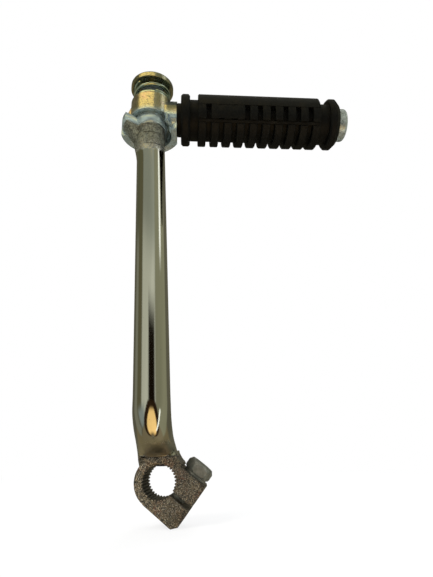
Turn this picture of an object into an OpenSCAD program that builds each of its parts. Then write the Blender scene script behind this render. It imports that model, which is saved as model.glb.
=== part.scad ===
// Folding kick start lever for a small motorcycle, stowed.
// Frame: origin in the middle of the splined bore, +Y along the bore towards the engine,
// +Z up the arm, +X the side where the pedal is stowed. Sizes are in millimetres.

/* [Lever] */
// Height of the pedal's axis above the splined bore
pedal_z = 160; // [140:1:190]
// Distance of the pivot pin outward from the middle of the bore, along -Y
pivot_out = 20; // [16:0.5:24]
// Sideways place of the pivot pin
pivot_x = -6; // [-9:0.5:-3]
// Radius of the arm at its foot
arm_foot_r = 7.1; // [6.5:0.1:7.6]
// Radius of the arm at its head
arm_head_r = 6.3; // [6:0.1:6.6]
// Sideways place of the arm's axis where its straight bar starts
arm_foot_x = -1.2; // [-2:0.1:0]
// Sideways place of the arm's axis at the boss
bend_x = -1.3; // [-2:0.1:0]
// Height at which the bend above the boss starts
bend_start_z = 3; // [2:0.5:5]
// Angle of the slanted stretch between the two bends
bend_angle = 58; // [50:1:62]
// Radius of each bend at the bar's axis
bend_r = 11; // [9:0.5:12]

/* [Splined boss] */
// Width of the boss along the bore
boss_w = 15.5; // [14:0.1:18]
// Outer radius of the boss
boss_r = 9.5; // [9.3:0.1:10.2]
// Radius over the tips of the serration
spline_tip_r = 6.2; // [5.9:0.05:6.4]
// Depth of a serration groove
spline_depth = 0.7; // [0.4:0.05:0.9]
// Number of serration teeth
spline_teeth = 34; // [28:1:36]
// Half the width over the two jaws
jaw_half = 9.3; // [8.8:0.1:9.3]
// Direction of the jaws, below +X
jaw_angle = 38; // [34:1:44]
// Distance from the bore's middle to the end of the jaws
jaw_len = 15.4; // [15.2:0.1:17]
// Width of the slit between the jaws
slit_w = 1.9; // [1.5:0.1:2.6]
// Bevel on the lower corner of the jaws
jaw_bevel = 1.8; // [1:0.1:2.2]
// How much thicker the lower jaw is than the upper one
jaw_extra = 0.35; // [0:0.05:0.6]
// Chamfer between a jaw's end and its faces, measured along the face
end_chamfer = 2.4; // [1:0.1:3]
// Chamfer between a jaw's end and its faces, measured along the end
side_chamfer = 1.7; // [0.8:0.1:2.4]

/* [Pinch bolt] */
// Thread diameter of the pinch bolt
bolt_d = 5.5; // [5:0.1:5.6]
// Distance from the bore's middle to the bolt's axis
bolt_at = 9.25; // [9.2:0.05:9.6]
// Width across the flats of the bolt's head
bolt_flats = 10; // [9:0.5:11]
// Height of the bolt's head
bolt_head_h = 4.2; // [3.6:0.1:5]
// Thickness of the washer under the head
bolt_washer_t = 1.2; // [0.8:0.1:1.6]
// Outer radius of the washer under the head
bolt_washer_r = 4.8; // [4.4:0.1:5.4]

/* [Pivot] */
// Radius of the pivot pin
pin_r = 5.4; // [5:0.1:5.6]
// Radial clearance of the knuckle on the pin
pin_fit = 0.05; // [0.03:0.01:0.08]
// Height of the pin's top above the pedal's axis
pin_top = 22.4; // [22.2:0.1:24]
// Radius of the shoulder that carries the knuckle
shoulder_r = 7.7; // [7.2:0.1:8.2]
// Thickness of the shoulder
shoulder_h = 4.2; // [3.4:0.1:5]
// Height of the step from the bar to the shoulder
head_step = 1.6; // [1:0.1:4]
// Depth of the shoulder's top below the pedal's axis
shoulder_drop = 1.8; // [1.2:0.1:2.4]
// Gap that opens between the knuckle and the lug at each end of the swing, in degrees
stop_gap = 2; // [1.5:0.5:3]
// Angle of the lug's first side about the pin, from +X
lug_from = 187; // [185:1:190]
// Angle of the lug's second side about the pin, from +X
lug_to = 223; // [218:1:226]
// Outer radius of the lug
lug_r = 13.4; // [12.8:0.1:13.7]
// Height of the lug's top from the pedal's axis
lug_top = -3; // [-3.4:0.1:-2.6]
// Height of the gusset that carries the lug
gusset_h = 11; // [9:0.5:14]

/* [Pedal] */
// Angle of the stowed pedal about the pin, from +X towards the engine
stow_angle = 6.5; // [2:0.5:8]
// Swing of the pedal from stowed to ready for use
swing = 96; // [90:1:98]
// Radius of the knuckle's barrel
barrel_r = 9.7; // [9.2:0.1:10.2]
// Height of the barrel's top above the pedal's axis
barrel_top = 8.6; // [8:0.1:9.4]
// Radius of the knuckle's skirt
skirt_r = 13.7; // [13.2:0.1:14.4]
// Inner radius of the skirt
skirt_bore_r = 9.8; // [9.4:0.1:10.2]
// Height of the skirt's band
skirt_h = 5.5; // [4.5:0.1:6.5]
// Depth of the skirt's lower edge below the pedal's axis
skirt_drop = 9.5; // [9:0.1:10.4]
// How far the short wall beside the lug's room stands out from the barrel
wall_t = 1.7; // [1.2:0.1:2.4]
// How much higher the short wall's lower edge is than the skirt's
wall_step = 2.6; // [2:0.1:3.4]
// Distance from the pin's axis to the face that the rubber meets
root_face = 12.4; // [12:0.1:13.4]
// Width of the knuckle's root block
root_w = 14.4; // [13:0.1:15]
// Height of the knuckle's root block
root_h = 15; // [13:0.1:15.6]
// Radius of the shank through the rubber
shank_r = 5.4; // [4.8:0.1:5.8]

/* [Rubber] */
// Radius over the ribs of the rubber
rubber_r = 11.8; // [11.2:0.1:12.4]
// Radius at the bottom of the grooves
groove_r = 9.4; // [8.8:0.1:10]
// Length of the narrow collar next to the knuckle
collar_len = 1.9; // [1.5:0.1:3]
// Radius of the narrow collar
collar_r = 7.7; // [7.2:0.1:8.4]
// Thickness of the inner flange
inner_flange = 4.2; // [3.4:0.1:5]
// Width of the plain neck beside the inner flange
neck_w = 3.8; // [3:0.1:4.6]
// Width of the plain neck beside the outer flange
outer_neck_w = 4.8; // [3.6:0.1:5.6]
// Number of ribs
ribs = 10; // [8:1:11]
// Width of a rib
rib_w = 3.7; // [3.4:0.1:4.2]
// Width of a groove between two ribs
groove_w = 2.25; // [1.7:0.05:2.6]
// Thickness of the outer flange
outer_flange = 4.9; // [4:0.1:6]
// Chamfer of the flanges
flange_chamfer = 0.8; // [0.4:0.1:1.2]
// Chamfer of the rubber's outer end
end_slope = 2; // [1:0.1:2.6]
// Radial clearance of the rubber on the shank
rubber_fit = 0.06; // [0.03:0.01:0.1]
// Chamfer of each rib's edges
rib_edge = 0.3; // [0.1:0.1:0.6]
// Depth of the line that runs along the ribs
line_depth = 0.9; // [0.4:0.1:1.4]

/* [End button] */
// Radius of the end button
button_r = 7.6; // [7:0.1:8.2]
// Thickness of the end button
button_t = 4.6; // [3.6:0.1:5.4]

/* [Spring and cap] */
// Wire diameter of the spring
wire_d = 1.6; // [1.3:0.1:1.8]
// Outer radius of the spring
spring_r = 8.9; // [8.6:0.1:9]
// Turns of the spring
turns = 1.85; // [1.5:0.05:2.5]
// Angle about the pin at which the spring's lower end lies, from +X
spring_start = -68; // [-90:1:0]
// Thickness of the washer below the spring
seat_t = 0.8; // [0.6:0.1:1]
// Outer radius of the retaining cap
cap_r = 10.2; // [10:0.1:10.8]
// Height of the cap's lower edge above the pedal's axis
cap_low = 16.9; // [16.6:0.1:17.4]
// Height of the cap
cap_h = 2.9; // [2.6:0.1:3.2]
// Thickness of the cap's plate
cap_plate = 1.4; // [1.2:0.1:1.6]
// Thickness of the snap ring
clip_t = 1; // [0.8:0.1:1.1]
// Outer radius of the snap ring
clip_r = 7.2; // [6.6:0.1:7.6]

/* [Hidden] */

chrome = "silver";
zinc = "lightsteelblue";
dark_steel = "dimgray";
rubber_black = "#1c1b1a";

// Fit between faces that only lie close to each other
gap = 0.3;
// How far a cutter passes beyond the surface that it cuts
over = 1;
round_fn = 96;
fine_fn = 64;

shoulder_z = pedal_z - shoulder_drop;
skirt_z = pedal_z - skirt_drop;
skirt_top_z = skirt_z + skirt_h;
barrel_z = pedal_z + barrel_top;
cap_z = pedal_z + cap_low;
cap_top_z = cap_z + cap_h;
pin_z = pedal_z + pin_top;
pin_groove = 0.8;
lug_top_z = pedal_z + lug_top;
lug_bottom_z = shoulder_z - shoulder_h;
knuckle_bore_r = pin_r + pin_fit;

// Angles about the rubber's axis, from straight outward towards the top, of the line along the ribs
// and of the smooth panel above it
line_low = -43;
line_high = -34;
panel_low = -1;
panel_high = 60;

// How far one stretch of the bar runs into the next, and how much slimmer it is there
lap = 0.4;
lap_step = 0.03;

// Ends of the skirt in the pedal's own frame, so that it meets the lug at both limits
skirt_end = lug_from - stow_angle - stop_gap;
skirt_start = lug_to - 360 + stop_gap - stow_angle + swing;
flange_start = skirt_start + 20;

body_at = root_face + collar_len + inner_flange + neck_w;
rib_pitch = rib_w + groove_w;
body_end = body_at + ribs * rib_pitch - groove_w;
outer_flange_at = body_end + outer_neck_w;
rubber_end = outer_flange_at + outer_flange;

// The slanted stretch is as long as the two bends leave of the pin's distance
bend_rise = bend_r * sin(bend_angle);
bend_reach = bend_r * (1 - cos(bend_angle));
bend_run = norm([arm_foot_x - bend_x, pivot_out]);
slant_len = (bend_run - 2 * bend_reach) / sin(bend_angle);
bend_end_z = bend_start_z + 2 * bend_rise + slant_len * cos(bend_angle);

// The arm's two nodes meet in a plane across the slanted stretch, just above the boss
web_top = boss_r + 1.6;
web_right = boss_r - 0.8;
split_z = web_top + 1.7;
split_at = (split_z - bend_start_z - bend_rise + (boss_w / 2 - bend_reach) * tan(bend_angle)) * cos(bend_angle);

// A sector of the plane between two angles, as a polygon of points on an arc
module sector(r, from, to) {
    steps = ceil((to - from) / 30);
    polygon(concat([[0, 0]], [for (i = [0:steps]) let(a = from + (to - from) * i / steps)
        r / cos((to - from) / steps / 2) * [cos(a), sin(a)]]));
}

// Turns a shape that lies along +Z so that it lies along +X
module along_x() {
    rotate([0, 90, 0]) children();
}

// Moves a shape from the pin's axis to its place
module at_pivot() {
    translate([pivot_x, -pivot_out, 0]) children();
}

// Moves a shape from the pedal's own frame to the stowed pedal
module at_pedal() {
    at_pivot() rotate([0, 0, stow_angle]) children();
}

// Turns a shape drawn in the plane of the boss, with the jaws along +X, to its place
module at_boss() {
    rotate([0, jaw_angle, 0]) rotate([90, 0, 0]) children();
}

// A bend of the bar that starts at the origin along +Z and turns towards +X
module bar_bend() {
    translate([bend_r, 0, 0]) rotate([90, 0, 0]) rotate([0, 0, 180 - bend_angle])
        rotate_extrude(angle = bend_angle, $fn = round_fn) translate([bend_r, 0]) circle(r = arm_foot_r, $fn = round_fn);
}

// Moves a shape that starts up along +Z and turns towards +X to the foot of the arm
module at_bend() {
    translate([bend_x, 0, 0]) rotate([0, 0, atan2(-pivot_out, arm_foot_x - bend_x)]) children();
}

// A length of the slanted stretch between the two bends
module slant(from, to) {
    translate([bend_reach, 0, bend_start_z + bend_rise]) rotate([0, bend_angle, 0]) translate([0, 0, from])
        cylinder(h = to - from, r = arm_foot_r - lap_step, $fn = round_fn);
}

// The lower bend, which comes up out of the boss, as far as the plane where the bar's node starts
module lower_bend() {
    at_bend() {
        translate([0, 0, bend_start_z]) bar_bend();
        slant(-lap, split_at);
    }
}

// The rest of the slanted stretch and the upper bend
module upper_bend() {
    at_bend() {
        slant(split_at, slant_len + lap);
        translate([bend_run, 0, bend_end_z]) rotate([0, 180, 0]) bar_bend();
    }
}

// The straight tapered bar, leaning from the bend to the head
module arm_bar() {
    foot = [arm_foot_x, -pivot_out, bend_end_z];
    head = [pivot_x, -pivot_out, lug_bottom_z + over];
    run = head - foot;
    lean = atan2(run[0], run[2]);
    translate(foot) rotate([0, lean, 0]) translate([0, 0, -lap])
        cylinder(h = norm(run) + lap, r1 = arm_foot_r - 2 * lap_step, r2 = arm_head_r, $fn = round_fn);
}

// The outline of the boss with its two jaws and the web between the upper jaw and the arm
module boss_outline() {
    low = jaw_half + jaw_extra;
    circle(r = boss_r, $fn = round_fn);
    polygon([[0, -low], [jaw_len - jaw_bevel, -low], [jaw_len, -low + jaw_bevel],
        [jaw_len, jaw_half - jaw_bevel / 3], [jaw_len - jaw_bevel / 3, jaw_half], [0, jaw_half]]);
    rotate(jaw_angle) polygon([[-2, boss_r - 2], [-1, boss_r - 0.1], [2, boss_r + 0.5], [web_right - 3.7, web_top - 0.3],
        [web_right - 2.9, web_top], [web_right - 2.6, web_top - 1.1], [web_right - 1.9, web_top - 2.4],
        [web_right - 1.1, web_top - 3.5], [web_right - 0.4, web_top - 4.2], [web_right, web_top - 5.2],
        [web_right - 3.7, web_top / 4]]);
}

// Cuts the chamfers between the jaws' ends and their faces
module jaw_chamfers() {
    slope = [end_chamfer, -side_chamfer];
    corner = [jaw_len - end_chamfer, boss_w / 2];
    from = corner - 0.5 * slope;
    to = corner + 1.5 * slope;
    rotate([0, jaw_angle, 0]) translate([0, 0, -2 * jaw_half]) linear_extrude(4 * jaw_half) {
        polygon([from, to, [to[0], from[1]]]);
        mirror([0, 1]) polygon([from, to, [to[0], from[1]]]);
    }
}

// The V grooves between the teeth, cut outward from inside the bore
module serration() {
    half = 180 / spline_teeth * 0.62;
    root = [spline_tip_r + spline_depth, 0];
    flank = spline_tip_r * [cos(half), sin(half)] - root;
    for (i = [0:spline_teeth - 1])
        rotate(360 / spline_teeth * (i + 0.5))
            polygon([root, root + 1.5 * flank, root + 1.5 * [flank[0], -flank[1]]]);
}

// The boss with its bore, serration and slit
module boss() {
    at_boss() translate([0, 0, -boss_w / 2]) linear_extrude(boss_w) difference() {
        boss_outline();
        circle(r = spline_tip_r, $fn = round_fn);
        serration();
        translate([spline_tip_r / 3, -slit_w / 2]) square([jaw_len, slit_w]);
        translate([bolt_at - bolt_washer_r - gap, jaw_half]) square(2 * boss_r);
    }
}

// Places a shape drawn along +Z on the bolt's axis, with z = 0 at the seat of the head
module at_bolt() {
    rotate([0, jaw_angle, 0]) translate([bolt_at, 0, jaw_half]) children();
}

module bolt_hole() {
    at_bolt() translate([0, 0, -2 * jaw_half - jaw_extra - over])
        cylinder(h = 2 * jaw_half + jaw_extra + 2 * over, d = bolt_d + 0.4, $fn = fine_fn);
}

// Keeps the bent bar clear of the bore and its grooves
module bore_room() {
    rotate([90, 0, 0]) cylinder(h = 2 * boss_w, r = spline_tip_r + spline_depth + 0.1, center = true, $fn = round_fn);
}

// The lug that stops the pedal at both ends of its swing, with the gusset below it
module lug() {
    gusset_z = lug_bottom_z - gusset_h;
    at_pivot() intersection() {
        translate([0, 0, gusset_z]) linear_extrude(lug_top_z - gusset_z) sector(lug_r, lug_from, lug_to);
        union() {
            translate([0, 0, gusset_z]) cylinder(h = lug_bottom_z - gusset_z,
                r1 = arm_head_r - 0.6, r2 = lug_r, $fn = round_fn);
            translate([0, 0, lug_bottom_z]) cylinder(h = lug_top_z - lug_bottom_z, r = lug_r, $fn = round_fn);
        }
    }
}

module arm_head() {
    at_pivot() {
        translate([0, 0, lug_bottom_z]) cylinder(h = shoulder_h, r = shoulder_r, $fn = round_fn);
        translate([0, 0, lug_bottom_z - head_step]) cylinder(h = head_step, r1 = arm_head_r, r2 = shoulder_r,
            $fn = round_fn);
        difference() {
            translate([0, 0, shoulder_z - over]) cylinder(h = pin_z - shoulder_z + over, r = pin_r, $fn = round_fn);
            translate([0, 0, cap_top_z]) ring(pin_r + over, pin_r - pin_groove, clip_t + 0.1);
        }
    }
}

module ring(outer, inner, h) {
    difference() {
        cylinder(h = h, r = outer, $fn = round_fn);
        translate([0, 0, -over]) cylinder(h = h + 2 * over, r = inner, $fn = round_fn);
    }
}

// The foot of the forging: the splined, slit boss with the lower bend
module clamp_boss() {
    color(chrome) {
        difference() {
            boss();
            bolt_hole();
            jaw_chamfers();
        }
        difference() {
            lower_bend();
            bore_room();
        }
    }
}

// The rest of the forging: the bar with the upper bend, the head with its pin and the lug
module kick_arm() {
    color(chrome) {
        upper_bend();
        arm_bar();
        arm_head();
        lug();
    }
}

// A hexagon head with its corners turned off, as on a real bolt
module pinch_bolt() {
    corner_r = bolt_flats / 2 / cos(30);
    color(dark_steel) at_bolt() {
        translate([0, 0, bolt_washer_t]) intersection() {
            rotate(8) cylinder(h = bolt_head_h, r = corner_r, $fn = 6);
            rotate_extrude($fn = fine_fn) polygon([[0, -over], [corner_r - 1, -over], [corner_r - 0.2, 0.7],
                [corner_r - 0.2, bolt_head_h - 1.3], [corner_r - 1.2, bolt_head_h + 0.01], [0, bolt_head_h + 0.01]]);
        }
        translate([0, 0, -2 * jaw_half - jaw_extra + gap])
            cylinder(h = 2 * jaw_half + jaw_extra - gap + bolt_washer_t, d = bolt_d, $fn = fine_fn);
    }
}

module pinch_washer() {
    color(dark_steel) at_bolt() difference() {
        cylinder(h = bolt_washer_t, r = bolt_washer_r, $fn = fine_fn);
        translate([0, 0, -over]) cylinder(h = bolt_washer_t + 2 * over, d = bolt_d + 0.4, $fn = fine_fn);
    }
}

// The flared outside of the knuckle: a short wall beside the lug's room, then the deep skirt. The knuckle
// cuts it flat where the rubber meets it.
module knuckle_skirt() {
    inner = knuckle_bore_r + 1;
    bored = skirt_bore_r - 0.6;
    wall_r = barrel_r + wall_t;
    wall_z = skirt_z + wall_step;
    rotate([0, 0, skirt_start]) rotate_extrude(angle = flange_start + 2 - skirt_start, $fn = round_fn)
        polygon([[bored, wall_z], [wall_r - 0.4, wall_z], [wall_r, wall_z + 0.4], [wall_r, shoulder_z - 1.2],
            [barrel_r - 0.1, shoulder_z + 1], [inner, shoulder_z + 1], [inner, shoulder_z + 0.4],
            [bored, shoulder_z + 0.4]]);
    rotate([0, 0, flange_start]) rotate_extrude(angle = skirt_end - flange_start, $fn = round_fn)
        polygon([[bored, skirt_z], [skirt_r - 0.5, skirt_z], [skirt_r, skirt_z + 0.5],
            [skirt_r, skirt_top_z - 0.6], [barrel_r + 1.6, barrel_z - 5.2], [barrel_r - 0.1, barrel_z - 1],
            [inner + 0.5, barrel_z - 1], [inner + 0.5, shoulder_z + 0.6], [bored, shoulder_z + 0.6]]);
}

// A rectangle with rounded corners, about its middle
module round_rect(w, h, r) {
    polygon([for (c = [[1, 1, 0], [-1, 1, 90], [-1, -1, 180], [1, -1, 270]]) for (a = [0:22.5:90])
        [c[0] * (w / 2 - r) + r * cos(c[2] + a), c[1] * (h / 2 - r) + r * sin(c[2] + a)]]);
}

module knuckle_root() {
    along_x() linear_extrude(root_face) round_rect(root_h, root_w, 5);
}

module pedal_knuckle() {
    color(zinc) at_pedal() difference() {
        union() {
            translate([0, 0, shoulder_z]) cylinder(h = barrel_z - shoulder_z - 0.6, r = barrel_r, $fn = round_fn);
            translate([0, 0, barrel_z - 0.6]) cylinder(h = 0.6, r1 = barrel_r, r2 = barrel_r - 0.6, $fn = round_fn);
            difference() {
                knuckle_skirt();
                translate([root_face, -skirt_r, skirt_z - over]) cube([skirt_r, 2 * skirt_r, barrel_z - skirt_z]);
            }
            translate([0, 0, pedal_z]) {
                knuckle_root();
                along_x() cylinder(h = rubber_end, r = shank_r, $fn = fine_fn);
            }
        }
        translate([0, 0, skirt_z - over]) cylinder(h = barrel_z, r = knuckle_bore_r, $fn = round_fn);
        translate([0, 0, skirt_z - over]) cylinder(h = shoulder_z - skirt_z + over, r = skirt_bore_r, $fn = round_fn);
    }
}

// A revolved stretch of the rubber along the shank, with a chamfer at its inner and its outer edge
module rubber_band(from, to, r, near, far) {
    bore = shank_r + rubber_fit;
    translate([from, 0, 0]) along_x() rotate_extrude($fn = fine_fn)
        polygon([[bore, 0], [r - near, 0], [r, near], [r, to - from - far], [r - far, to - from],
            [bore, to - from]]);
}

// A length of the rubber over a part of the circle, from one radius to another
module rubber_part(from, to, inner, outer, low, high) {
    translate([from, 0, 0]) along_x() rotate([0, 0, 270 - high]) rotate_extrude(angle = high - low, $fn = fine_fn)
        translate([inner, 0]) square([outer - inner, to - from]);
}

module pedal_rubber() {
    flange_end = root_face + collar_len + inner_flange;
    line_r = rubber_r - line_depth;
    buried = groove_r - 0.6;
    color(rubber_black) at_pedal() translate([0, 0, pedal_z]) {
        rubber_band(root_face, root_face + collar_len + over, collar_r, 0.3, 0.3);
        rubber_band(root_face + collar_len, flange_end, rubber_r, flange_chamfer, flange_chamfer);
        rubber_band(flange_end - over, outer_flange_at + over, groove_r, 0.3, 0.3);
        rubber_band(outer_flange_at, rubber_end, rubber_r, flange_chamfer, end_slope);
        difference() {
            for (i = [0:ribs - 1])
                translate([i * rib_pitch, 0, 0]) rubber_band(body_at, body_at + rib_w, rubber_r, rib_edge, rib_edge);
            rubber_part(body_at - over, body_end + over, line_r, 2 * rubber_r, line_low, line_high);
        }
        rubber_part(body_at + rib_edge, body_end - rib_edge, buried, line_r + 0.1, line_low + 1, line_high - 1);
        rubber_part(body_at + rib_edge, body_end - rib_edge, buried, rubber_r + 0.1, panel_low, panel_high);
        rubber_part(body_at + rib_pitch + rib_w / 2, body_at + 3 * rib_pitch + rib_w / 2, buried, rubber_r - 0.12,
            line_high + 1, panel_low + 2);
    }
}

module end_button() {
    edge = 1.2;
    color(chrome) at_pedal() translate([rubber_end, 0, pedal_z]) along_x() rotate_extrude($fn = fine_fn)
        polygon(concat([[0, 0], [button_r, 0]],
            [for (a = [0:15:90]) [button_r - edge + edge * cos(a), button_t - edge + edge * sin(a)]],
            [[2.5, button_t], [0, button_t - 0.6]]));
}

module spring_seat() {
    color(zinc) at_pivot() translate([0, 0, barrel_z]) ring(spring_r + 0.2, knuckle_bore_r, seat_t);
}

// Height of the wire's axis along the spring, with a closed turn at each end
function coil_z(t) = let(
    low = barrel_z + seat_t + wire_d / 2 + 0.05,
    high = cap_top_z - cap_plate - wire_d / 2 - 0.05)
    low + (high - low) * t;

module pedal_spring(n = 10, per_turn = 28) {
    steps = ceil(turns * per_turn);
    mean_r = spring_r - wire_d / 2;
    points = [for (k = [0:steps]) let(a = spring_start + 360 * turns * k / steps)
        for (i = [0:n - 1]) let(b = 360 * i / n, r = mean_r + wire_d / 2 * cos(b))
            [r * cos(a), r * sin(a), coil_z(k / steps) + wire_d / 2 * sin(b)]];
    sides = [for (k = [0:steps - 1]) for (i = [0:n - 1]) let(j = (i + 1) % n)
        [k * n + i, (k + 1) * n + i, (k + 1) * n + j, k * n + j]];
    ends = [[for (i = [0:n - 1]) i], [for (i = [n - 1:-1:0]) steps * n + i]];
    color(zinc) at_pivot() polyhedron(points, concat(sides, ends), convexity = 6);
}

module retaining_cap() {
    edge = 0.8;
    color(zinc) at_pivot() translate([0, 0, cap_z]) rotate_extrude($fn = round_fn)
        polygon(concat([[pin_r + pin_fit, cap_h - cap_plate], [cap_r - 1.1, cap_h - cap_plate], [cap_r - 1.1, 0],
            [cap_r, 0]],
            [for (a = [0:15:90]) [cap_r - edge + edge * cos(a), cap_h - edge + edge * sin(a)]],
            [[pin_r + pin_fit, cap_h]]));
}

module snap_ring() {
    opening = 40;
    color(dark_steel) at_pivot() translate([0, 0, cap_top_z + 0.05]) rotate([0, 0, 90 + opening / 2])
        rotate_extrude(angle = 360 - opening, $fn = round_fn)
            translate([pin_r - pin_groove + 0.02, 0]) square([clip_r - pin_r + pin_groove - 0.02, clip_t]);
}

clamp_boss();
kick_arm();
pinch_bolt();
pinch_washer();
pedal_knuckle();
pedal_rubber();
end_button();
spring_seat();
pedal_spring();
retaining_cap();
snap_ring();
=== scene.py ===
"""Kick start lever: materials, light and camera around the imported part, in the part's own frame."""
import math

import bmesh
import bpy
from mathutils import Matrix, Vector


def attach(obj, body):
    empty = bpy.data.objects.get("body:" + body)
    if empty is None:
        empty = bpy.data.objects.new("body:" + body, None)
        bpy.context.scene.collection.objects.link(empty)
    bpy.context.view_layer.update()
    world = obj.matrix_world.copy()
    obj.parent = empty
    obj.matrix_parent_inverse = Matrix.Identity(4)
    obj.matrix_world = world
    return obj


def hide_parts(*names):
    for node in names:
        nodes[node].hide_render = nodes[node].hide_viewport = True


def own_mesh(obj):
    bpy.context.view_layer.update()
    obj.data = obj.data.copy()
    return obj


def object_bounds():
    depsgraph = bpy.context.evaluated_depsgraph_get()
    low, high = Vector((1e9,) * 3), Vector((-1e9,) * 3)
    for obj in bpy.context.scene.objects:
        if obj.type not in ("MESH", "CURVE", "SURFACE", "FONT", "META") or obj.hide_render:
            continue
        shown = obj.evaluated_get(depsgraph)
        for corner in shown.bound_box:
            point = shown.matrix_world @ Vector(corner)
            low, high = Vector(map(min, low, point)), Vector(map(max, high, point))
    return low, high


MM = 0.001
CAMERA_AT = (30.77, -185.83, 12.94)
CAMERA_YAW = -2.39
CAMERA_PITCH = 19.88
CAMERA_ROLL = -1.02
LENS = 27.0
SENSOR = 36.0
CLIP_START = 0.01
CLIP_END = 20

PIVOT = Vector((-6, -20, 160)) * MM

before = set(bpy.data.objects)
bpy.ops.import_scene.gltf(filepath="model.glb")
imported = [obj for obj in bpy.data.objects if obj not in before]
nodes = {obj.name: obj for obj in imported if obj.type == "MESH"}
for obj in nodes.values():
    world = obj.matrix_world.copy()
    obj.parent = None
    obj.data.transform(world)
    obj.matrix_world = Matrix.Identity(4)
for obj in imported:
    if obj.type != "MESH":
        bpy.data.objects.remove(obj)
cad_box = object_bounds()


class Nodes:
    """Short calls for building one material's node tree."""

    def __init__(self, name):
        self.material = bpy.data.materials.new(name)
        self.material.use_nodes = True
        self.tree = self.material.node_tree
        self.tree.nodes.clear()

    def add(self, kind, **values):
        node = self.tree.nodes.new(kind)
        for key, value in values.items():
            setattr(node, key, value)
        return node

    def feed(self, socket, value):
        if isinstance(value, bpy.types.NodeSocket):
            self.tree.links.new(value, socket)
        elif isinstance(value, tuple) and len(value) == 3 and socket.type == "RGBA":
            socket.default_value = (*value, 1)
        else:
            socket.default_value = value

    def math(self, operation, a, b=0.0):
        node = self.add("ShaderNodeMath", operation=operation)
        self.feed(node.inputs[0], a)
        self.feed(node.inputs[1], b)
        return node.outputs[0]

    def mix(self, factor, a, b):
        node = self.add("ShaderNodeMix", data_type="RGBA")
        self.feed(node.inputs[0], factor)
        self.feed(node.inputs[6], a)
        self.feed(node.inputs[7], b)
        return node.outputs[2]

    def spread(self, value, low, high, to_low=0.0, to_high=1.0):
        node = self.add("ShaderNodeMapRange", interpolation_type="SMOOTHSTEP")
        self.feed(node.inputs[0], value)
        for index, number in zip((1, 2, 3, 4), (low, high, to_low, to_high)):
            node.inputs[index].default_value = number
        return node.outputs[0]

    def place(self, scale=(1, 1, 1)):
        coord = self.add("ShaderNodeTexCoord")
        mapping = self.add("ShaderNodeMapping")
        self.feed(mapping.inputs["Vector"], coord.outputs["Object"])
        mapping.inputs["Scale"].default_value = scale
        return mapping.outputs[0]

    def axis(self, index):
        coord = self.add("ShaderNodeTexCoord")
        split = self.add("ShaderNodeSeparateXYZ")
        self.feed(split.inputs[0], coord.outputs["Object"])
        return split.outputs[index]

    def noise(self, scale, detail=4.0, rough=0.55, at=None):
        node = self.add("ShaderNodeTexNoise")
        node.inputs["Scale"].default_value = scale
        node.inputs["Detail"].default_value = detail
        node.inputs["Roughness"].default_value = rough
        self.feed(node.inputs["Vector"], at or self.place())
        return node.outputs[0]

    def cells(self, scale):
        node = self.add("ShaderNodeTexVoronoi")
        node.inputs["Scale"].default_value = scale
        self.feed(node.inputs["Vector"], self.place())
        return node.outputs[0]

    def bump(self, height, depth, strength=1.0, normal=None):
        node = self.add("ShaderNodeBump")
        self.feed(node.inputs["Strength"], strength)
        node.inputs["Distance"].default_value = depth
        self.feed(node.inputs["Height"], height)
        if normal:
            self.feed(node.inputs["Normal"], normal)
        return node.outputs[0]

    def soft_edges(self, radius):
        node = self.add("ShaderNodeBevel", samples=6)
        self.feed(node.inputs["Radius"], radius)
        return node.outputs[0]

    def surface(self, **sockets):
        shader = self.add("ShaderNodeBsdfPrincipled")
        out = self.add("ShaderNodeOutputMaterial")
        for key, value in sockets.items():
            self.feed(shader.inputs[key.replace("_", " ")], value)
        self.tree.links.new(shader.outputs[0], out.inputs[0])
        return self.material


# Where the forging's look changes, in metres along y, z or the bore's radius
OUTER_FACE_Y = (-0.0086, -0.0080)
BOSS_TOP_Z = (0.0088, 0.0100)
WORN_FOOT_Z = (0.0125, 0.0165)
HEAD_Z = (0.133, 0.146)
SHOULDER_Z = (0.1525, 0.1535)
BORE_WALL_R = (0.0070, 0.0074)
BORE_MOUTH_Y = (-0.0076, -0.0070)


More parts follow.
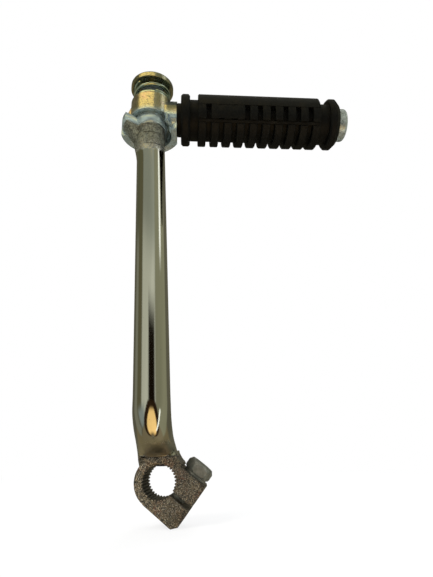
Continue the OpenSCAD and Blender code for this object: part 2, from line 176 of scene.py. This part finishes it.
def chrome_forging():
    """Chrome over a forging: bright along the bar, pitted and stained at the boss and the head, with
    painted highlight flecks on the pitting, painted shade in the bore and streaks that are partly painted
    reflection.
    """
    n = Nodes("chrome_forging")
    height = n.axis(2)
    behind_face = n.spread(n.axis(1), *OUTER_FACE_Y)
    low_end = n.math("MULTIPLY", n.spread(height, *BOSS_TOP_Z, 1, 0), behind_face)
    high_end = n.spread(height, *HEAD_Z, 0, 1)
    shoulder = n.spread(height, *SHOULDER_Z, 1, 0)
    ragged = n.math("MULTIPLY", n.math("SUBTRACT", n.noise(240), 0.5), 0.6)
    high_part = n.math("MULTIPLY", n.math("MULTIPLY", high_end, shoulder), 0.75)
    pitted = n.spread(n.math("ADD", n.math("MAXIMUM", low_end, high_part), ragged), 0.25, 0.75)

    grain = n.noise(1350, 3, 0.65)
    painted_sparkle = n.noise(3200, 2, 0.6)
    pits = n.spread(n.cells(1300), 0.10, 0.42)
    rust = n.spread(n.noise(150, 5, 0.6), 0.50, 0.62)
    moss = n.spread(n.noise(110, 4, 0.55), 0.50, 0.70)
    stains_and_painted_light = n.mix(rust, (0.115, 0.085, 0.048), (0.13, 0.042, 0.022))
    stains_and_painted_light = n.mix(n.math("MULTIPLY", moss, 0.5), stains_and_painted_light, (0.14, 0.14, 0.08))
    stains_and_painted_light = n.mix(n.spread(grain, 0.47, 0.52), (0.006, 0.004, 0.002), stains_and_painted_light)
    # Painted highlight: bright flecks on the pitting stand in for sparkles of light
    stains_and_painted_light = n.mix(n.math("MULTIPLY", n.spread(painted_sparkle, 0.57, 0.61), 0.85), stains_and_painted_light, (0.78, 0.68, 0.52))
    # Darker towards +X, across the right jaw
    stains_and_painted_light = n.mix(n.spread(n.axis(0), -0.002, 0.005, 1, 0.62), (0.012, 0.006, 0.003), stains_and_painted_light)
    # Painted shade: near black inside the bore
    across = n.math("POWER", n.axis(0), 2)
    radius = n.math("SQRT", n.math("ADD", across, n.math("POWER", height, 2)))
    bore_shade_depth = n.math("MULTIPLY", n.spread(radius, *BORE_WALL_R, 1, 0), 0.8)
    bore_painted_shade = n.math("MULTIPLY", bore_shade_depth, n.spread(n.axis(1), *BORE_MOUTH_Y))
    stains_and_painted_light = n.mix(bore_painted_shade, stains_and_painted_light, (0.010, 0.007, 0.003))
    grey = n.mix(n.spread(grain, 0.42, 0.58), (0.05, 0.05, 0.035), (0.23, 0.24, 0.18))
    stains_and_painted_light = n.mix(high_end, stains_and_painted_light, grey)

    # Streaks along the bar: partly painted reflection of dark lines round the lever, partly polishing
    # scratches
    streak_reflection_and_scratch = n.noise(95, 4, 0.5, n.place((1, 1, 0.035)))
    plate = n.mix(n.spread(streak_reflection_and_scratch, 0.38, 0.62), (0.50, 0.51, 0.46), (0.66, 0.67, 0.62))
    flecks = n.spread(n.cells(420), 0.035, 0.06)
    plate = n.mix(n.math("SUBTRACT", 1.0, flecks), plate, (0.20, 0.19, 0.15))
    colour = n.mix(n.math("MULTIPLY", pitted, 0.92), plate, stains_and_painted_light)
    zinc_part = n.math("SUBTRACT", 1.0, shoulder)
    colour = n.mix(n.math("MULTIPLY", zinc_part, 0.9), colour, (0.36, 0.45, 0.44))

    dull = n.math("MAXIMUM", pitted, zinc_part)
    metal = n.math("SUBTRACT", 1.0, n.math("MULTIPLY", dull, 0.32))
    rough = n.mix(pitted, (0.07, 0.07, 0.07), (0.34, 0.34, 0.34))
    rough = n.mix(zinc_part, rough, (0.24, 0.24, 0.24))
    before_face = n.spread(n.axis(1), *OUTER_FACE_Y, 1, 0)
    worn_foot = n.math("MULTIPLY", n.spread(height, *WORN_FOOT_Z, 1, 0), before_face)
    rough = n.mix(worn_foot, rough, (0.36, 0.36, 0.36))
    relief = n.math("MULTIPLY", n.math("ADD", n.math("MULTIPLY", pits, 0.6), grain), pitted)
    ripple = n.bump(n.noise(60, 2, 0.4), 0.00010, 0.4, n.soft_edges(0.0008))
    normal = n.bump(relief, 0.00040, 1.0, ripple)
    return n.surface(Base_Color=colour, Metallic=metal, Roughness=rough, Normal=normal)


def zinc(name, tint, stains_and_painted_light, rough, metal):
    """Zinc plate: blue grey with a faint warm bloom and a fine sparkle."""
    n = Nodes(name)
    bloom = n.spread(n.noise(90, 4, 0.6), 0.42, 0.66)
    colour = n.mix(n.math("MULTIPLY", bloom, 0.7), tint, stains_and_painted_light)
    sparkle = n.noise(1900, 2, 0.6)
    colour = n.mix(n.spread(sparkle, 0.30, 0.50), tuple(0.5 * c for c in tint), colour)
    scuffs = n.noise(320, 5, 0.7)
    roughness = n.math("ADD", n.math("MULTIPLY", scuffs, 0.22), rough - 0.11)
    normal = n.bump(sparkle, 0.00008, 0.7, n.soft_edges(0.0004))
    return n.surface(Base_Color=colour, Metallic=metal, Roughness=roughness, Normal=normal)


def zinc_knuckle():
    """Zinc plate of the knuckle, with painted reflection: warm olive round the barrel and cool blue on the
    skirt below it, and painted shade towards the peg's root.
    """
    n = Nodes("zinc_knuckle")
    # Painted reflection: the same zinc plate is painted warm olive on the barrel and cool blue on the skirt
    warm_reflection_zone = n.spread(n.math("ADD", n.axis(2), n.math("MULTIPLY", n.noise(140), 0.004)), 0.1595, 0.1635)
    bloom = n.spread(n.noise(120, 4, 0.6), 0.45, 0.62)
    cool_reflection_tint = n.mix(bloom, (0.40, 0.50, 0.51), (0.46, 0.50, 0.46))
    warm_reflection_tint = n.mix(bloom, (0.52, 0.48, 0.30), (0.56, 0.44, 0.33))
    sparkle = n.noise(1900, 2, 0.6)
    peg_root_shade = n.spread(n.axis(0), 0.0014, 0.0030)
    colour = n.mix(warm_reflection_zone, cool_reflection_tint, warm_reflection_tint)
    # Painted shade: near black on the barrel's upper part towards the peg's root
    colour = n.mix(n.math("MULTIPLY", peg_root_shade, warm_reflection_zone), colour, (0.08, 0.095, 0.085))
    colour = n.mix(n.spread(sparkle, 0.30, 0.50), (0.14, 0.15, 0.13), colour)
    scuffs = n.noise(320, 5, 0.7)
    roughness = n.math("ADD", n.math("MULTIPLY", scuffs, 0.20), 0.08)
    metal = n.math("ADD", n.math("MULTIPLY", warm_reflection_zone, 0.22), 0.74)
    normal = n.bump(sparkle, 0.00008, 0.7, n.soft_edges(0.0006))
    return n.surface(Base_Color=colour, Metallic=metal, Roughness=roughness, Normal=normal)


def bolt_steel():
    """Grey plated bolt, dull and cloudy, slightly warm in places."""
    n = Nodes("bolt_steel")
    cloud = n.spread(n.noise(260, 5, 0.65), 0.40, 0.68)
    colour = n.mix(cloud, (0.15, 0.155, 0.13), (0.24, 0.235, 0.20))
    normal = n.bump(n.noise(1400, 3, 0.6), 0.00010, 0.6, n.soft_edges(0.0005))
    return n.surface(Base_Color=colour, Metallic=0.6, Roughness=0.40, Normal=normal)


def moulded_rubber():
    """Black rubber with a matt skin, dusty and slightly brown in random patches."""
    n = Nodes("moulded_rubber")
    dust = n.spread(n.noise(140, 5, 0.65), 0.45, 0.75)
    colour = n.mix(n.math("MULTIPLY", dust, 0.6), (0.0024, 0.0026, 0.0022), (0.008, 0.0065, 0.0030))
    skin = n.noise(2600, 3, 0.6)
    roughness = n.math("ADD", n.math("MULTIPLY", n.noise(300, 4, 0.6), 0.2), 0.42)
    normal = n.bump(skin, 0.00005, 0.5, n.soft_edges(0.0004))
    return n.surface(Base_Color=colour, Roughness=roughness, Specular_IOR_Level=0.13, Normal=normal)


def paint(obj, material):
    obj.data.materials.clear()
    obj.data.materials.append(material)
    for face in obj.data.polygons:
        face.material_index = 0


chrome_look = chrome_forging()
knuckle_look = zinc_knuckle()
cap_look = zinc("zinc_cap", (0.38, 0.40, 0.31), (0.44, 0.40, 0.24), 0.20, 1.0)
spring_look = zinc("zinc_spring", (0.50, 0.66, 0.60), (0.56, 0.62, 0.50), 0.16, 1.0)
button_look = zinc("bright_button", (0.44, 0.50, 0.48), (0.43, 0.46, 0.42), 0.20, 0.75)
dark_look = bolt_steel()
rubber_look = moulded_rubber()

paint(nodes["pedal_knuckle"], knuckle_look)
paint(nodes["retaining_cap"], cap_look)
paint(nodes["spring_seat"], spring_look)
paint(nodes["end_button"], button_look)
paint(nodes["pinch_bolt"], dark_look)
paint(nodes["pinch_washer"], dark_look)
paint(nodes["snap_ring"], dark_look)
paint(nodes["pedal_rubber"], rubber_look)


def coil(name, low, high, mean_r, wire_r, turns, start, per_turn=40, sides=14):
    """A round wire wound into a spring about the pivot, with flat closed ends."""
    steps = int(turns * per_turn)
    rings = []
    verts = []
    for k in range(steps + 1):
        t = k / steps
        angle = start + 2 * math.pi * turns * t
        centre = Vector((math.cos(angle) * mean_r, math.sin(angle) * mean_r, low + (high - low) * t))
        out = Vector((math.cos(angle), math.sin(angle), 0))
        ring = []
        for i in range(sides):
            b = 2 * math.pi * i / sides
            ring.append(len(verts))
            verts.append(centre + wire_r * (math.cos(b) * out + math.sin(b) * Vector((0, 0, 1))))
        rings.append(ring)
    faces = []
    for a, b in zip(rings, rings[1:]):
        for i in range(sides):
            j = (i + 1) % sides
            faces.append((a[i], b[i], b[j], a[j]))
    faces.append(tuple(rings[0]))
    faces.append(tuple(reversed(rings[-1])))
    mesh = bpy.data.meshes.new(name)
    mesh.from_pydata([PIVOT + v for v in verts], [], faces)
    for face in mesh.polygons:
        face.use_smooth = len(face.vertices) == 4
    obj = bpy.data.objects.new(name, mesh)
    bpy.context.collection.objects.link(obj)
    return obj


WIRE_R = 0.8
SPRING_R = 8.1
SPRING_TURNS = 1.85
SPRING_START = math.radians(-68)
# The spring's room in millimetres above the pivot: the washer on the barrel and the cap's plate
SEAT_TOP = 8.6 + 0.8
CAP_UNDERSIDE = 16.9 + 2.9 - 1.4
PLAY = 0.05
SPRING_LOW = (SEAT_TOP + WIRE_R + PLAY) * MM
SPRING_HIGH = (CAP_UNDERSIDE - WIRE_R - PLAY) * MM
spring = coil("spring", SPRING_LOW, SPRING_HIGH, SPRING_R * MM, WIRE_R * MM, SPRING_TURNS, SPRING_START)
paint(spring, spring_look)
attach(spring, "arm")
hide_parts("pedal_spring")
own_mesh(spring)


BAR_Y = -20.0
BAR_FOOT_Z = 27.7
BAR_HEAD_Z = 155.2
# The bar runs as a loft up to LOFT_TOP, inside what is kept of the head above HEAD_CUT
LOFT_TOP = 148.0
LOFT_STEP = 3.0
HEAD_CUT = 141.5
BEND_TOP = 32.0
BEND_STEPS = 40
# The loft's last loop lies inside the boss's wall, on this radius
RING_IN_WALL = 8.0
BOSS_HALF = 7.75
BOSS_CUTS = (((0, -BOSS_HALF - 0.01, 0), (0, -1, 0)), ((5.8, 0, 11.2), (-0.211, 0, 0.977)))
HEAD_CUTS = (((0, 0, HEAD_CUT), (0, 0, -1)),)
WELD = 0.002
SHARP_ANGLE = math.radians(28)
# Side view of the bend as two curves, each by four guide points (y, z) from the boss up to the bar
BEND_FRONT = ((-7.4, 8.9), (-13.6, 11.2), (-27.0, 15.8), (-27.02, BEND_TOP))
BEND_BACK = ((6.8, 5.0), (5.0, 16.0), (-12.9, 19.0), (-12.98, BEND_TOP))


def ease(u):
    u = min(max(u, 0.0), 1.0)
    return u * u * (3 - 2 * u)


def guided(points, t):
    weights = ((1 - t) ** 3, 3 * t * (1 - t) ** 2, 3 * t * t * (1 - t), t ** 3)
    return [sum(w * q[k] for w, q in zip(weights, points)) for k in range(2)]


def bar_radius(z):
    return 7.07 - 0.74 * max(0.0, z - BAR_FOOT_Z) / (BAR_HEAD_Z - BAR_FOOT_Z)


def bar_section(front, back, sides=72):
    """One closed section of the bar between its front and back point in the side view, in mm."""
    front, back = Vector((0, *front)), Vector((0, *back))
    middle = (front + back) / 2
    z = middle.z
    up = max(0.0, z - BAR_FOOT_Z) / (BAR_HEAD_Z - BAR_FOOT_Z)
    middle.x = -1.2 - 4.8 * up - 0.1 * (1 - ease((z - 4) / 24))
    flare = ease((17 - z) / 10)
    swell = ease((32 - z) / 8) * (1 - ease((17 - z) / 8))
    left = bar_radius(z) + 1.2 * flare + 0.35 * swell + 1.6 * ease((z - 135) / 12)
    right = bar_radius(z) + 1.1 * flare
    loop = []
    for i in range(sides):
        a = 2 * math.pi * i / sides
        wide = left if math.cos(a) < 0 else right
        loop.append(middle + Vector((wide * math.cos(a), 0, 0)) + math.sin(a) * (front - back) / 2)
    return loop


def trimmed(node, cuts):
    """A copy of a CAD node's mesh, cut off and closed at each plane."""
    work = bmesh.new()
    work.from_mesh(nodes[node].data)
    bmesh.ops.remove_doubles(work, verts=work.verts[:], dist=WELD * MM)
    for at, normal in cuts:
        whole = work.verts[:] + work.edges[:] + work.faces[:]
        cut = bmesh.ops.bisect_plane(work, geom=whole, plane_co=Vector(at) * MM, plane_no=normal,
                                     clear_outer=True)
        edges = [e for e in cut["geom_cut"] if isinstance(e, bmesh.types.BMEdge)]
        bmesh.ops.triangle_fill(work, edges=edges, use_beauty=True, normal=normal)
    return work


def make_forging():
    """The whole forging as one piece, with the smooth bend that its two CAD nodes only outline."""
    work = trimmed("clamp_boss", BOSS_CUTS)
    head = trimmed("kick_arm", HEAD_CUTS)
    spare = bpy.data.meshes.new("spare")
    head.to_mesh(spare)
    work.from_mesh(spare)
    levels = [LOFT_TOP - LOFT_STEP * k for k in range(int((LOFT_TOP - BEND_TOP) / LOFT_STEP) + 1)]
    loops = [bar_section((BAR_Y - bar_radius(z), z), (BAR_Y + bar_radius(z), z)) for z in levels]
    for k in range(1, BEND_STEPS + 1):
        t = 1 - k / BEND_STEPS
        loops.append(bar_section(guided(BEND_FRONT, t), guided(BEND_BACK, t)))
    last = []
    for p in loops[-1]:
        x = min(max(p.x, 0.1 - RING_IN_WALL), RING_IN_WALL - 0.1)
        y = min(max(p.y, 0.25 - BOSS_HALF), BOSS_HALF - 0.25)
        last.append(Vector((x, y, math.sqrt(RING_IN_WALL ** 2 - x * x))))
    loops.append(last)
    rows = [[work.verts.new(p * MM) for p in loop] for loop in loops]
    count = len(last)
    for a, b in zip(rows, rows[1:]):
        for i in range(count):
            j = (i + 1) % count
            work.faces.new((a[i], b[i], b[j], a[j]))
    work.faces.new(list(reversed(rows[0])))
    for i in range(1, count // 2 - 1):
        work.faces.new((rows[-1][i], rows[-1][count - i], rows[-1][count - i - 1], rows[-1][i + 1]))
    mesh = bpy.data.meshes.new("forging")
    work.to_mesh(mesh)
    mesh.shade_smooth()
    mesh.set_sharp_from_angle(angle=SHARP_ANGLE)
    forging = bpy.data.objects.new("forging", mesh)
    bpy.context.collection.objects.link(forging)
    return forging


forging = make_forging()
paint(forging, chrome_look)
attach(forging, "arm")
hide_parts("clamp_boss", "kick_arm")


def glow_material(name, colour):
    """Plain light that fades out where the card's weight falls to nothing."""
    material = bpy.data.materials.new(name)
    material.use_nodes = True
    tree = material.node_tree
    tree.nodes.clear()
    glow = tree.nodes.new("ShaderNodeEmission")
    glow.inputs[0].default_value = (*colour, 1)
    clear = tree.nodes.new("ShaderNodeBsdfTransparent")
    weight = tree.nodes.new("ShaderNodeAttribute")
    weight.attribute_name = "weight"
    mixer = tree.nodes.new("ShaderNodeMixShader")
    out = tree.nodes.new("ShaderNodeOutputMaterial")
    tree.links.new(weight.outputs["Fac"], mixer.inputs[0])
    tree.links.new(clear.outputs[0], mixer.inputs[1])
    tree.links.new(glow.outputs[0], mixer.inputs[2])
    tree.links.new(mixer.outputs[0], out.inputs[0])
    return material


CARD_STEP = 2.0
STAGE_RADIUS = 1.6
CARD_GAP = 0.02
STAGE_MIDDLE = Vector((0, -20, 80)) * MM
cards = []


def card(name, turn, rise, colour, soft=(3.0, 3.0), top=1.0):
    """A studio card on a sphere round the lever, seen only in reflections.

    turn and rise are ranges in degrees: from straight outward towards +X, and above level.
    soft is how many degrees the edges fade over, sideways and upward.
    top is the share of its width that a card keeps at its upper edge.
    A later card lies in front of the earlier ones.
    """
    radius = STAGE_RADIUS - CARD_GAP * len(cards)
    columns = int((turn[1] - turn[0]) / CARD_STEP) + 1
    rows = int((rise[1] - rise[0]) / CARD_STEP) + 1
    middle = (turn[0] + turn[1]) / 2
    verts, weights = [], []
    for j in range(rows + 1):
        taper = 1 + (top - 1) * j / rows
        up = rise[0] + (rise[1] - rise[0]) * j / rows
        for i in range(columns + 1):
            side = turn[0] + (turn[1] - turn[0]) * i / columns
            edge = 1.0
            if soft[0]:
                edge = min(edge, ease(min(side - turn[0], turn[1] - side) / soft[0]))
            if soft[1]:
                edge = min(edge, ease(min(up - rise[0], rise[1] - up) / soft[1]))
            a, e = math.radians(middle + (side - middle) * taper), math.radians(up)
            out = Vector((math.sin(a) * math.cos(e), -math.cos(a) * math.cos(e), math.sin(e)))
            verts.append(STAGE_MIDDLE + radius * out)
            weights.append(edge)
    wide = columns + 1
    faces = [(j * wide + i, j * wide + i + 1, (j + 1) * wide + i + 1, (j + 1) * wide + i)
             for j in range(rows) for i in range(columns)]
    mesh = bpy.data.meshes.new(name)
    mesh.from_pydata(verts, [], faces)
    mesh.attributes.new("weight", "FLOAT", "POINT").data.foreach_set("value", weights)
    mesh.materials.append(glow_material(name, colour))
    obj = bpy.data.objects.new(name, mesh)
    bpy.context.collection.objects.link(obj)
    obj.visible_camera = False
    obj.visible_diffuse = False
    obj.visible_shadow = False
    obj.visible_transmission = False
    cards.append(obj)


card("card_room", (-180, 180), (-89.5, 89.5), (0.14, 0.13, 0.09), (0, 0))
card("card_back_low", (100, 260), (-89.5, -20), (0.25, 0.20, 0.11), (10, 10))
card("card_ceiling", (-180, 180), (60, 89.5), (0.50, 0.49, 0.42), (0, 8))
card("card_left_edge", (-114, -84), (-50, 64), (0.29, 0.28, 0.21))
card("card_left_edge_high", (-114, -84), (23, 64), (0.13, 0.13, 0.075), (3, 5))
card("card_left", (-88, -54), (-40, 64), (0.16, 0.145, 0.08))
card("card_front_high", (-56, 39), (18, 64), (0.36, 0.37, 0.30), (6, 8))
card("card_right", (33, 119), (-60, 64), (0.30, 0.29, 0.19), (5, 5))
card("card_front_low", (-58, 38), (-62, 32), (0.70, 0.69, 0.57), (8, 10))
card("card_front_down", (-88, -30), (-62, -8), (0.36, 0.40, 0.38), (20, 20))
card("card_window", (68, 84), (25, 60), (1.4, 1.4, 1.3), (3, 5))
card("card_lamp", (-66, 22), (41, 56), (2.1, 1.65, 0.74), (3, 1.5))
card("card_behind_camera", (-14, 33), (-60, 21), (0.010, 0.006, 0.003), (9, 6))
card("card_low_olive", (-140, 140), (-89.95, -50), (0.26, 0.21, 0.125), (20, 4))
card("card_low_brown", (-104, 118), (-88.5, -8), (0.035, 0.018, 0.008), (12, 6), 0.18)
card("card_low_gold", (-76, 92), (-88, -20), (1.45, 0.94, 0.36), (14, 14), 0.08)
card("card_glint", (58, 68), (-72, -20), (1.9, 1.9, 1.75), (3, 5))


LAMPS_AIM = Vector((0.01, -0.02, 0.09))


def lamp(name, at, size, power, colour=(1, 1, 1)):
    """A round soft light aimed at the lever, not seen itself and not seen in reflections."""
    light = bpy.data.lights.new(name, "AREA")
    light.shape = "DISK"
    light.size = size
    light.energy = power
    light.color = colour
    obj = bpy.data.objects.new(name, light)
    obj.location = at
    aim = LAMPS_AIM - Vector(at)
    obj.rotation_euler = aim.to_track_quat("-Z", "Y").to_euler()
    obj.visible_camera = False
    obj.visible_glossy = False
    bpy.context.collection.objects.link(obj)


lamp("lamp_key", (-0.45, -0.75, 0.75), 0.45, 9.0, (1.0, 0.97, 0.92))
lamp("lamp_fill", (0.80, -0.45, 0.35), 0.60, 4.0, (0.93, 0.97, 1.0))
lamp("lamp_back", (0.15, 0.80, 0.65), 0.50, 5.0)

AMBIENT = (0.96, 0.98, 1.0, 1)
AMBIENT_STRENGTH = 0.55


def add_world():
    """Soft light all round, and plain white at strength 1 wherever the background itself is seen."""
    world = bpy.data.worlds.new("studio")
    bpy.context.scene.world = world
    world.use_nodes = True
    tree = world.node_tree
    tree.nodes.clear()
    path = tree.nodes.new("ShaderNodeLightPath")
    seen = tree.nodes.new("ShaderNodeMath")
    seen.operation = "MAXIMUM"
    tree.links.new(path.outputs["Is Camera Ray"], seen.inputs[0])
    tree.links.new(path.outputs["Is Glossy Ray"], seen.inputs[1])
    through = tree.nodes.new("ShaderNodeMath")
    through.operation = "MAXIMUM"
    tree.links.new(seen.outputs[0], through.inputs[0])
    tree.links.new(path.outputs["Is Transmission Ray"], through.inputs[1])
    soft = tree.nodes.new("ShaderNodeBackground")
    soft.inputs[0].default_value = AMBIENT
    soft.inputs[1].default_value = AMBIENT_STRENGTH
    white = tree.nodes.new("ShaderNodeBackground")
    white.inputs[0].default_value = (1, 1, 1, 1)
    white.inputs[1].default_value = 1.0
    mixer = tree.nodes.new("ShaderNodeMixShader")
    out = tree.nodes.new("ShaderNodeOutputWorld")
    tree.links.new(through.outputs[0], mixer.inputs[0])
    tree.links.new(soft.outputs[0], mixer.inputs[1])
    tree.links.new(white.outputs[0], mixer.inputs[2])
    tree.links.new(mixer.outputs[0], out.inputs[0])


add_world()


# The floor's white grows with the distance from the lever: from and to metres, then the two shares
FLOOR_FADE = (0.06, 0.35, 0.8, 1.0)


def floor_material():
    """A pale floor that the camera sees as white and that still keeps the lever's shadow."""
    material = bpy.data.materials.new("floor")
    material.use_nodes = True
    tree = material.node_tree
    tree.nodes.clear()
    path = tree.nodes.new("ShaderNodeLightPath")
    coord = tree.nodes.new("ShaderNodeTexCoord")
    distance = tree.nodes.new("ShaderNodeVectorMath")
    distance.operation = "LENGTH"
    tree.links.new(coord.outputs["Object"], distance.inputs[0])
    fade = tree.nodes.new("ShaderNodeMapRange")
    tree.links.new(distance.outputs["Value"], fade.inputs[0])
    for index, number in zip((1, 2, 3, 4), FLOOR_FADE):
        fade.inputs[index].default_value = number
    share = tree.nodes.new("ShaderNodeMath")
    share.operation = "MULTIPLY"
    tree.links.new(fade.outputs[0], share.inputs[1])
    tree.links.new(path.outputs["Is Camera Ray"], share.inputs[0])
    paint_node = tree.nodes.new("ShaderNodeBsdfDiffuse")
    paint_node.inputs[0].default_value = (0.9, 0.9, 0.9, 1)
    glow = tree.nodes.new("ShaderNodeEmission")
    mixer = tree.nodes.new("ShaderNodeMixShader")
    out = tree.nodes.new("ShaderNodeOutputMaterial")
    tree.links.new(share.outputs[0], mixer.inputs[0])
    tree.links.new(paint_node.outputs[0], mixer.inputs[1])
    tree.links.new(glow.outputs[0], mixer.inputs[2])
    tree.links.new(mixer.outputs[0], out.inputs[0])
    return material


FLOOR_HALF = 4
FLOOR_GAP = 0.2 * MM
floor_mesh = bpy.data.meshes.new("floor")
floor_z = cad_box[0][2] - FLOOR_GAP
floor_corners = [(x * FLOOR_HALF, y * FLOOR_HALF, floor_z) for x, y in ((-1, -1), (1, -1), (1, 1), (-1, 1))]
floor_mesh.from_pydata(floor_corners, [], [(0, 1, 2, 3)])
floor_mesh.materials.append(floor_material())
floor = bpy.data.objects.new("floor", floor_mesh)
bpy.context.collection.objects.link(floor)
floor.visible_glossy = False


def add_camera():
    """The camera that was fitted to the photograph's outlines."""
    yaw, pitch, roll = (math.radians(a) for a in (CAMERA_YAW, CAMERA_PITCH, CAMERA_ROLL))
    ahead = Vector((math.sin(yaw) * math.cos(pitch), math.cos(yaw) * math.cos(pitch), math.sin(pitch)))
    right = Vector((math.cos(yaw), -math.sin(yaw), 0))
    up = right.cross(ahead)
    right_rolled = math.cos(roll) * right + math.sin(roll) * up
    up_rolled = math.cos(roll) * up - math.sin(roll) * right
    data = bpy.data.cameras.new("camera")
    data.sensor_fit = "AUTO"
    data.sensor_width = SENSOR
    data.lens = LENS
    data.clip_start = CLIP_START
    data.clip_end = CLIP_END
    camera = bpy.data.objects.new("camera", data)
    turned = Matrix((right_rolled, up_rolled, -ahead)).transposed().to_4x4()
    camera.matrix_world = Matrix.Translation(Vector(CAMERA_AT) * MM) @ turned
    bpy.context.collection.objects.link(camera)
    bpy.context.scene.camera = camera


add_camera()
bpy.context.scene.view_settings.view_transform = "Standard"
